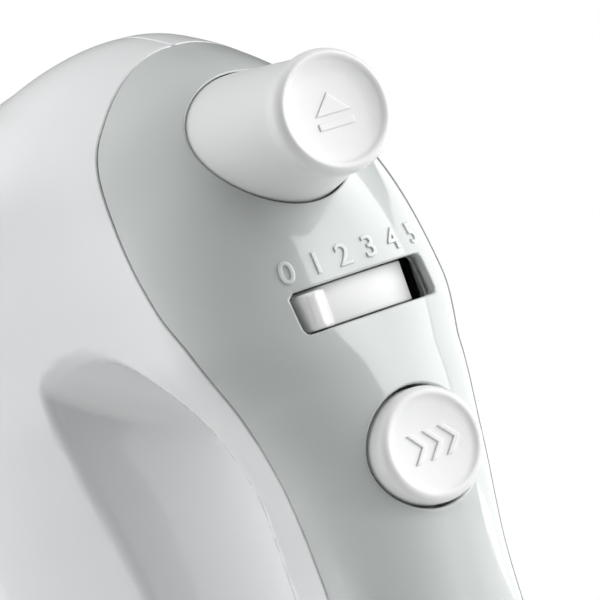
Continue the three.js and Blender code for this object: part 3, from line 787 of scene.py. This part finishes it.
def cut_out(outlines, half_thick, bevel):
    """A flat plate with rounded edges, from closed outlines in its own plane; inner ones are holes.
    Gives vertices and faces in that plane's own axes."""
    curve = bpy.data.curves.new("outline", "CURVE")
    curve.dimensions = "2D"
    curve.fill_mode = "BOTH"
    curve.extrude = half_thick - bevel
    curve.bevel_depth = bevel
    curve.bevel_resolution = 3
    curve.offset = -bevel
    for line in outlines:
        s = curve.splines.new("POLY")
        s.points.add(len(line) - 1)
        for k, (x, y) in enumerate(line):
            s.points[k].co = (x, y, 0, 1)
        s.use_cyclic_u = True
    return curve_mesh(curve)


def curve_mesh(curve):
    ob = bpy.data.objects.new("outline", curve)
    bpy.context.scene.collection.objects.link(ob)
    bpy.context.view_layer.update()
    mesh = bpy.data.meshes.new_from_object(ob.evaluated_get(bpy.context.evaluated_depsgraph_get()))
    verts = np.array([v.co for v in mesh.vertices]).reshape(-1, 3)
    faces = [tuple(p.vertices) for p in mesh.polygons]
    bpy.data.objects.remove(ob)
    bpy.data.meshes.remove(mesh)
    return verts, faces


def subdivided(verts, faces, longest):
    """Splits long faces, so that a flat shape can follow a curved one."""
    bm = bmesh.new()
    made = [bm.verts.new(v) for v in verts]
    for f in faces:
        try:
            bm.faces.new([made[k] for k in f])
        except ValueError:
            continue
    bmesh.ops.remove_doubles(bm, verts=bm.verts, dist=1e-4)
    bmesh.ops.triangulate(bm, faces=bm.faces)
    for _ in range(4):
        long = [e for e in bm.edges if e.calc_length() > longest]
        if not long:
            break
        bmesh.ops.subdivide_edges(bm, edges=long, cuts=1)
        bmesh.ops.triangulate(bm, faces=bm.faces)
    bm.verts.index_update()
    out_v = np.array([v.co for v in bm.verts])
    out_f = [tuple(v.index for v in f.verts) for f in bm.faces]
    bm.free()
    return out_v, out_f


# ---------- materials ----------
GLOSS_SPREAD = 0.03
MOTTLE = 0.03                # how far the base colour goes to each side of its mean
IOR = 1.5
COAT_ROUGH = 0.05


def plastic(name, colour, rough, grain=900.0, bump=0.03, coat=0.0, metal=0.0):
    """Moulded or metal surface: base colour with a faint mottle, uneven gloss and a fine grain."""
    m = bpy.data.materials.new(name)
    m.use_nodes = True
    tree = m.node_tree
    tree.nodes.clear()
    out = tree.nodes.new("ShaderNodeOutputMaterial")
    s = tree.nodes.new("ShaderNodeBsdfPrincipled")
    tree.links.new(s.outputs["BSDF"], out.inputs["Surface"])
    place = tree.nodes.new("ShaderNodeTexCoord")
    broad = tree.nodes.new("ShaderNodeTexNoise")
    broad.inputs["Scale"].default_value = 35
    broad.inputs["Detail"].default_value = 3
    tree.links.new(place.outputs["Object"], broad.inputs["Vector"])
    mix = tree.nodes.new("ShaderNodeMix")
    mix.data_type = "RGBA"
    mix.inputs["A"].default_value = (*[c * (1 - MOTTLE) for c in colour], 1)
    mix.inputs["B"].default_value = (*[min(1, c * (1 + MOTTLE)) for c in colour], 1)
    tree.links.new(broad.outputs["Fac"], mix.inputs["Factor"])
    tree.links.new(mix.outputs["Result"], s.inputs["Base Color"])
    fine = tree.nodes.new("ShaderNodeTexNoise")
    fine.inputs["Scale"].default_value = grain
    fine.inputs["Detail"].default_value = 2
    tree.links.new(place.outputs["Object"], fine.inputs["Vector"])
    ramp = tree.nodes.new("ShaderNodeMapRange")
    ramp.inputs["To Min"].default_value = max(0.02, rough - GLOSS_SPREAD)
    ramp.inputs["To Max"].default_value = rough + GLOSS_SPREAD
    tree.links.new(fine.outputs["Fac"], ramp.inputs["Value"])
    tree.links.new(ramp.outputs["Result"], s.inputs["Roughness"])
    b = tree.nodes.new("ShaderNodeBump")
    b.inputs["Strength"].default_value = bump
    b.inputs["Distance"].default_value = 0.0004
    tree.links.new(fine.outputs["Fac"], b.inputs["Height"])
    tree.links.new(b.outputs["Normal"], s.inputs["Normal"])
    s.inputs["Metallic"].default_value = metal
    s.inputs["IOR"].default_value = IOR
    s.inputs["Coat Weight"].default_value = coat
    s.inputs["Coat Roughness"].default_value = COAT_ROUGH
    return m


LOOKS = {
    "white_shell": plastic("white_shell", (0.88, 0.885, 0.89), 0.16, coat=0.6, bump=0.02),
    "grey_panel": plastic("grey_panel", (0.585, 0.615, 0.605), 0.14, coat=0.7, bump=0.02),
    # A lighter copy of the panel grey: painted light on the raised digits, which are panel grey
    # themselves.
    "panel_grey_painted_lit": plastic("panel_grey_painted_lit", (0.70, 0.725, 0.715), 0.22, bump=0.02, coat=0.5),
    "white_control": plastic("white_control", (0.83, 0.83, 0.83), 0.32, bump=0.05, coat=0.1),
    "rubber": plastic("rubber", (0.075, 0.078, 0.082), 0.75, bump=0.3, grain=700),
    "dark_plastic": plastic("dark_plastic", (0.03, 0.032, 0.035), 0.5, bump=0.1),
    "steel": plastic("steel", (0.60, 0.61, 0.62), 0.3, metal=1.0, bump=0.05),
    "beater_chrome": plastic("beater_chrome", (0.78, 0.79, 0.80), 0.1, metal=1.0, bump=0.01),
    "copper": plastic("copper", (0.55, 0.22, 0.10), 0.35, metal=1.0, bump=0.25, grain=500),
    "iron": plastic("iron", (0.22, 0.23, 0.24), 0.5, metal=1.0, bump=0.2),
    "bearing": plastic("bearing", (0.52, 0.42, 0.20), 0.3, metal=1.0, bump=0.1),
    "nylon": plastic("nylon", (0.72, 0.69, 0.60), 0.42, bump=0.08),
    "board": plastic("board", (0.04, 0.16, 0.08), 0.5, bump=0.15, grain=400),
}


def look(ob, name):
    ob.data.materials.clear()
    ob.data.materials.append(LOOKS[name])
    return ob


def piece(ob, name, body_name, nodes=()):
    """Gives a shape its material and body, and hides the CAD nodes that it stands in for."""
    look(ob, name)
    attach(ob, body_name)
    if nodes:
        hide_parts(*nodes)
    return ob


NODE_LOOKS = {
    "housing_screw": "steel", "eject_plate": "nylon", "eject_spring": "steel",
    "boost_spring": "steel", "circuit_board": "board", "boost_switch": "dark_plastic",
    "speed_switch": "dark_plastic", "motor_stator": "iron", "field_coil": "copper",
    "motor_bracket": "iron", "rear_bearing": "bearing", "front_bearing": "bearing",
    "nose_bearing": "bearing", "brush_holder": "dark_plastic", "carbon_brush": "dark_plastic",
    "armature_shaft": "steel", "armature_core": "iron", "commutator": "copper",
    "cooling_fan": "nylon", "gear_frame": "iron", "worm_wheel": "nylon",
}
for node_name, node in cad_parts.items():
    for start, kind in NODE_LOOKS.items():
        if node_name.startswith(start):
            look(node, kind)
SPRINGS = {                  # joint, height of the foot and of the top, and stroke
    "eject_spring": ("eject_press", 15.3, 29.7, 6.5),
    "boost_spring": ("boost_press", 77.9, 90.7, 2.2),
}
for spring_name, (joint, foot, top, stroke) in SPRINGS.items():
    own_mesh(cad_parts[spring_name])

# ---------- shells ----------
shells = build_shells()
piece(shells["left"], "white_shell", "housing", ["left_housing"])
piece(shells["right"], "white_shell", "housing", ["right_housing"])
piece(shells["panel"], "grey_panel", "housing", ["control_panel"])


# ---------- figures on the panel and marks on the buttons ----------
def frame_on(f, x, y, start_z):
    """The point of the surface straight below (x, y), its normal, and the two directions along it."""
    p = np.array([[x, y, start_z]], float)
    for _ in range(12):
        g = gradient(f, p)
        p[:, 2] -= f(*p.T) / g[:, 2]
    n = unit(gradient(f, p))[0]
    up = np.array([1.0, 0, 0]) - n * n[0]
    up = up / np.linalg.norm(up)
    return p[0], n, up, np.cross(up, n)


FIGURE_HEIGHT = 4.2
FIGURE_STEP = 5.55
FIGURE_LEFT = 11.4           # place of the 0
FIGURE_X = 138.8
DIGIT_SHARE = 0.72           # a digit's height as a share of the font's size
ABOVE_PANEL = 104


def figures():
    """The digits 0 to 5, raised and wrapped onto the panel."""
    all_v = []
    all_f = []
    for k in range(6):
        text = bpy.data.curves.new("figure", "FONT")
        text.body = str(k)
        text.align_x = "CENTER"
        text.align_y = "CENTER"
        text.size = FIGURE_HEIGHT / DIGIT_SHARE
        text.extrude = 0.22
        text.bevel_depth = 0.15
        text.bevel_resolution = 2
        text.offset = -0.06
        text.resolution_u = 6
        v, f = curve_mesh(text)
        v, f = subdivided(v, f, 0.9)
        mid = (v.max(0) + v.min(0)) / 2
        p, n, up, right = frame_on(envelope, FIGURE_X, FIGURE_LEFT - FIGURE_STEP * k, ABOVE_PANEL)
        flat = p + (v[:, :1] - mid[0]) * right + (v[:, 1:2] - mid[1]) * up
        ground = onto(envelope, flat)
        q = ground + unit(gradient(envelope, ground)) * v[:, 2:]
        all_f += [tuple(i + sum(len(a) for a in all_v) for i in face) for face in f]
        all_v.append(q)
    ob = make_object("dial_figures", np.concatenate(all_v), all_f)
    return tidy(ob, 50)


# The digits take the lighter copy of the panel grey, painted light on their raised strokes.
piece(figures(), "panel_grey_painted_lit", "housing")

# ---------- eject and boost buttons, as (radius, height) ----------
EJECT_SIDE = [(15.35, 72), (15.0, 75), (14.55, 79), (13.85, 83.7), (12.62, 92), (11.75, 98),
              (11.0, 103.2), (10.95, 104.0)]
EJECT_HEAD = [(10.98, 104.4), (11.08, 105.0), (11.22, 105.8), (11.32, 106.7), (11.28, 107.5),
              (11.05, 108.3), (10.7, 108.85), (10.3, 109.15), (9.9, 109.15), (9.45, 108.95),
              (9.0, 108.65), (8.2, 108.35), (6.8, 108.0), (4.6, 107.7), (2.3, 107.53), (0, 107.5)]
EJECT_INSIDE = [(0, 104.7), (8.9, 104.7), (10.6, 92), (13.0, 75), (13.3, 72)]
eject_side = spline(EJECT_SIDE, 4, closed=False)
eject_head = spline(EJECT_HEAD, 3, closed=False)
eject = turned("eject_button_cap", [*eject_side, *eject_head, *EJECT_INSIDE], (EJECT_X, 0), 128, 50)
piece(eject, "white_control", "eject", ["eject_button"])

BOOST_PROFILE = [(10.4, 92.2), (10.4, 96), (10.4, 100.8), (10.37, 101.5), (10.25, 102.1),
                 (9.95, 102.7), (9.5, 103.08), (9.05, 103.2), (8.65, 103.12), (8.25, 102.9),
                 (7.8, 102.72), (6.8, 102.55), (4.6, 102.3), (2.3, 102.15), (0, 102.1)]
boost_line = spline(BOOST_PROFILE, 4, closed=False)
boost = turned("boost_button_cap", [(0, 91), (12.3, 91), (12.3, 92.2), *boost_line],
               (BOOST_X, 0), 128, 50)
piece(boost, "white_control", "boost", ["boost_button"])


def on_face(profile, x, y):
    """Height of a dished face at (x, y) from its middle."""
    line = np.array(sorted(profile, key=lambda q: q[0]))
    return np.interp(np.hypot(x, y), line[:, 0], line[:, 1])


MARK_HALF_THICK = 0.45
MARK_BEVEL = 0.16


def mark(name, outlines, profile, centre_x, height, body_name):
    """A raised generic sign on a dished button face; its right points to the mixer's right."""
    v, f = cut_out(outlines, MARK_HALF_THICK, MARK_BEVEL)
    v, f = subdivided(v, f, 1.0)
    x = v[:, 1]
    y = -v[:, 0]
    z = on_face(profile, x, y) + height - MARK_HALF_THICK + v[:, 2]
    ob = make_object(name, np.column_stack([centre_x + x, y, z]), f)
    return piece(tidy(ob, 50), "white_control", body_name)


def chevron(x0, reach, half, thick):
    return [(x0, -half), (x0 + thick, -half), (x0 + thick + reach, 0), (x0 + thick, half),
            (x0, half), (x0 + reach, 0)]


release = [[(-3.6, -0.4), (3.6, -0.4), (0, 3.4)],
           [(-3.6, -2.9), (3.6, -2.9), (3.6, -1.6), (-3.6, -1.6)]]
mark("release_mark", release, EJECT_HEAD[8:], EJECT_X, 0.28, "eject")
faster = [chevron(x0, 2.4, 2.7, 1.2) for x0 in (-4.6, -1.3, 2.0)]
mark("faster_mark", faster, BOOST_PROFILE[8:], BOOST_X, 0.4, "boost")


# ---------- speed slider ----------
def slider_point(r, deg, x):
    """A point at distance r from the slider's axis. deg is from straight up toward the mixer's
    left, and x from the middle of the slot."""
    a = math.radians(deg)
    return (SLOT_X + x, r * math.sin(a), SLIDER_AXIS_Z + r * math.cos(a))


KNOB_BACK = 0.3              # the knob sits this far toward the heel in its slot
GUIDE_MIDDLE = 20.9          # curved guide under the band
GUIDE_END = 58
STRIP_HALF_LENGTH = 3.74
# distance from the slider's axis, half length along X, half width and corner radius
KNOB_ROWS = [
    (22.0, 3.45, 3.2, 0.5), (24.6, 3.45, 3.05, 0.5), (27.4, 3.4, 1.75, 0.5),
    (28.3, 3.3, 1.4, 0.5), (28.75, 3.15, 1.15, 0.45), (29.0, 2.85, 0.85, 0.4),
    (29.1, 2.45, 0.5, 0.3)]


def curved_strip(name, middle, half_thick, right, left):
    """A strip bent about the slider's axis, from `right` to `left` degrees of straight up."""
    section = rounded(STRIP_HALF_LENGTH, half_thick, 0.3, 4)
    rows = [[slider_point(middle + b, deg, a) for a, b in section]
            for deg in np.linspace(-right, left, 97)]
    return tidy(make_object(name, *loft(rows)), 45)


def slider_knob():
    """A roof-like block: it narrows upward to a soft ridge that lies along X."""
    turn = math.radians(SLIDER_ANGLE)
    rows = []
    for r, half_long, half_wide, corner_radius in KNOB_ROWS:
        row = []
        for u, t in rounded(half_long, half_wide, corner_radius, 5):
            x, y, z = slider_point(r, SLIDER_ANGLE, u - KNOB_BACK)
            row.append((x, y + t * math.cos(turn), z - t * math.sin(turn)))
        rows.append(row)
    return tidy(make_object("slider_knob", *loft(rows)), 60)


band = curved_strip("slider_band", BAND_MIDDLE, 0.9, BAND_RIGHT, BAND_LEFT)
piece(band, "white_control", "slider", ["speed_slider"])
piece(curved_strip("slider_guide", GUIDE_MIDDLE, 0.4, GUIDE_END, GUIDE_END), "grey_panel", "housing")
piece(slider_knob(), "white_control", "slider")

# ---------- heel pad, gland, socket plate ----------
# inset from the pad's outline and X
PAD_ROWS = [
    (0, -0.3), (0, -1.55), (0.15, -1.85), (0.5, -2.0), (2.8, -2.0), (3.05, -1.9),
    (3.1, -1.6), (3.9, -1.6), (3.95, -1.9), (4.2, -2.0)]


def pad():
    """Rubber pad with a groove round its face."""
    rows = []
    for inset, x in PAD_ROWS:
        line = rounded(16.5 - inset, 16 - inset, max(5 - inset, 1.2), 8)
        rows.append([(x, a, PAD_Z + b) for a, b in line])
    return tidy(make_object("heel_pad_face", *loft(rows)), 40)


piece(pad(), "rubber", "housing", ["heel_pad"])
gland = [(3.4, -9), (6.5, -9), (6.5, 1.2), (6.3, 1.7)]
for k in range(4):
    top = 6.05 - 0.2 * k
    at = 1.9 + 1.8 * k
    gland += [(top, at), (top, at + 1.0), (top - 0.7, at + 1.2), (top - 0.7, at + 1.6)]
gland += [(5.2, 8.5), (5.0, 8.9), (4.7, 9), (3.6, 9), (3.4, 8.8)]
piece(turned("gland_sleeve", gland, segments=64, on_gland=True), "dark_plastic", "housing",
      ["cord_gland"])


def socket_plate():
    """The underside's plate, with a round hole for each beater."""
    holes = [arc(0, s * BEATER_Y, SOCKET_HOLE, 0, 354, 60) for s in (1, -1)]
    v, f = cut_out([rounded(18, 30, 14, 14)] + holes, 0.8, 0.35)
    v = np.column_stack([v[:, 0] + BEATER_X, v[:, 1], v[:, 2] - 37.1])
    return tidy(make_object("socket_cover", v, f), 40)


piece(socket_plate(), "grey_panel", "housing", ["socket_plate"])

# ---------- beaters ----------
LOOP = [(0, -58), (6, -59.5), (13, -66), (19.5, -77), (22.6, -90), (22.9, -103),
        (20.5, -117), (15, -128), (7, -134.6), (0, -136)]
STRIP_WIDTH = 5.6
STRIP_THICK = 1.2


def beater_loop(name, side, inset, turn):
    """One closed strip of a beater, turned about the shaft and drawn in by the inset."""
    half = []
    for i, (r, z) in enumerate(LOOP):
        r = max(0, r - (inset if 0 < i < 9 else 0))
        half.append((r, z + (-inset if z > -97 else inset)))
    full = half + [(-r, z) for r, z in half[1:-1][::-1]]
    line = spline(full, 8)
    ahead = unit(np.roll(line, -1, 0) - np.roll(line, 1, 0))
    out = np.column_stack([-ahead[:, 1], ahead[:, 0]])
    if (out * (line - line.mean(0))).sum() < 0:
        out = -out
    section = rounded(STRIP_WIDTH / 2, STRIP_THICK / 2, 0.45, 4)
    rows = []
    for p, o in zip(line, out):
        row = []
        for a, b in section:
            r, z = p + o * (b - STRIP_THICK / 2)
            row.append((r, a, z))
        rows.append(row)
    v, faces = loft(rows, closed=True)
    c, s = math.cos(turn), math.sin(turn)
    v = np.column_stack([v[:, 0] * c - v[:, 1] * s + BEATER_X,
                         v[:, 0] * s + v[:, 1] * c + side * BEATER_Y, v[:, 2]])
    return tidy(make_object(name, v, faces), 60)


for sign, where in ((1, "left"), (-1, "right")):
    rest = 0 if sign > 0 else math.pi / 4
    y = sign * BEATER_Y
    bod = f"beater_{where}"
    for kind, inset, extra in (("outer", 0, 0), ("inner", 1.6, math.pi / 2)):
        loop = beater_loop(f"{where}_wire_{kind}", sign, inset, rest + extra)
        piece(loop, "beater_chrome", bod, [f"beater_loop_{kind}_{where}"])
    shaft = [(0, -132), (1.9, -132), (2.4, -131.6), (2.9, -130), (2.9, -60), (3.5, -59.4),
             (3.5, -57.4), (2.9, -56.8), (2.9, 7.5), (2.5, 8.6), (1.7, 9.4), (0, 9.5)]
    piece(turned(f"{where}_beater_rod", shaft, (BEATER_X, y), 48), "beater_chrome", bod,
          [f"beater_shaft_{where}"])
    wide = 6.2 if sign > 0 else 8
    ring = [(3.2, -46.4), (3.3, -46.5), (wide - 0.3, -46.5), (wide, -46.2), (wide, -43.3),
            (wide - 0.3, -43), (3.3, -43), (3.2, -43.1)]
    piece(turned(f"{where}_collar_ring", ring, (BEATER_X, y), 64), "nylon", bod,
          [f"beater_collar_{where}"])
    bush = [(5.8, -38.3), (6.0, -38.5), (6.95, -38.5), (7.15, -38.3), (7.15, -31), (5.8, -31)]
    piece(turned(f"{where}_socket_ring", bush, (BEATER_X, y), 64), "dark_plastic", "housing",
          [f"spindle_bush_{where}"])


# ---------- floor and light ----------
FLOOR_RADIUS = 0.38


def make_floor():
    bm = bmesh.new()
    bmesh.ops.create_circle(bm, cap_ends=True, radius=FLOOR_RADIUS, segments=96)
    mesh = bpy.data.meshes.new("floor")
    bm.to_mesh(mesh)
    bm.free()
    ob = bpy.data.objects.new("floor", mesh)
    bpy.context.scene.collection.objects.link(ob)
    ob.data.materials.append(plastic("floor_paint", (0.82, 0.82, 0.82), 0.6, bump=0.0))


def softbox(name, at, aim, width, height, power):
    data = bpy.data.lights.new(name, "AREA")
    data.shape = "RECTANGLE"
    data.size = width
    data.size_y = height
    data.energy = power
    ob = bpy.data.objects.new(name, data)
    bpy.context.scene.collection.objects.link(ob)
    ob.location = at
    ob.rotation_mode = "QUATERNION"
    ob.rotation_quaternion = (Vector(aim) - Vector(at)).to_track_quat("-Z", "Y")


# Broad soft sources of the white studio: the direction toward each, and its strength.
SOFT_SOURCES = [
    ((-0.39, 0.19, 0.9), 1.06),       # left and above
    ((-0.84, 0.44, 0.33), 1.08),      # left
    ((-0.26, 0.93, 0.25), 1.12),      # left, behind
    ((0.37, -0.86, 0.34), 0.13),      # right, above, in front
    ((0.84, -0.44, -0.33), 0.5),      # right
]
SOFT_POWER = 4               # the higher, the narrower each source


def maths(tree, kind, *values):
    """A math node whose inputs are sockets or numbers."""
    node = tree.nodes.new("ShaderNodeMath")
    node.operation = kind
    for k, value in enumerate(values):
        if isinstance(value, (int, float)):
            node.inputs[k].default_value = value
        else:
            tree.links.new(value, node.inputs[k])
    return node.outputs[0]


def make_world():
    """White to look at. As a source of light it is a sum of broad lobes."""
    world = bpy.data.worlds.new("studio")
    bpy.context.scene.world = world
    world.use_nodes = True
    tree = world.node_tree
    tree.nodes.clear()
    out = tree.nodes.new("ShaderNodeOutputWorld")
    seen = tree.nodes.new("ShaderNodeBackground")
    seen.inputs["Color"].default_value = (1, 1, 1, 1)
    seen.inputs["Strength"].default_value = 1.0
    lit = tree.nodes.new("ShaderNodeBackground")
    lit.inputs["Color"].default_value = (0.985, 0.995, 1.0, 1)
    toward = tree.nodes.new("ShaderNodeTexCoord")
    total = 0.0
    for direction, strength in SOFT_SOURCES:
        facing = tree.nodes.new("ShaderNodeVectorMath")
        facing.operation = "DOT_PRODUCT"
        tree.links.new(toward.outputs["Generated"], facing.inputs[0])
        facing.inputs[1].default_value = Vector(direction).normalized()
        lobe = maths(tree, "POWER", maths(tree, "MAXIMUM", facing.outputs["Value"], 0.0), SOFT_POWER)
        total = maths(tree, "MULTIPLY_ADD", lobe, strength, total)
    tree.links.new(total, lit.inputs["Strength"])
    path = tree.nodes.new("ShaderNodeLightPath")
    mix = tree.nodes.new("ShaderNodeMixShader")
    tree.links.new(path.outputs["Is Camera Ray"], mix.inputs["Fac"])
    tree.links.new(lit.outputs["Background"], mix.inputs[1])
    tree.links.new(seen.outputs["Background"], mix.inputs[2])
    tree.links.new(mix.outputs["Shader"], out.inputs["Surface"])


MIDDLE = (0, -0.03, 0.12)
make_floor()
make_world()
softbox("key", (0.62, -0.72, 0.42), MIDDLE, 1.25, 1.1, 11.9)
softbox("through_opening", (0.91, 0.19, -0.06), MIDDLE, 1.0, 1.0, 4.0)
softbox("low_side", (0.76, 0.07, -0.44), MIDDLE, 0.8, 0.8, 5.0)
bpy.context.scene.view_settings.view_transform = "Standard"
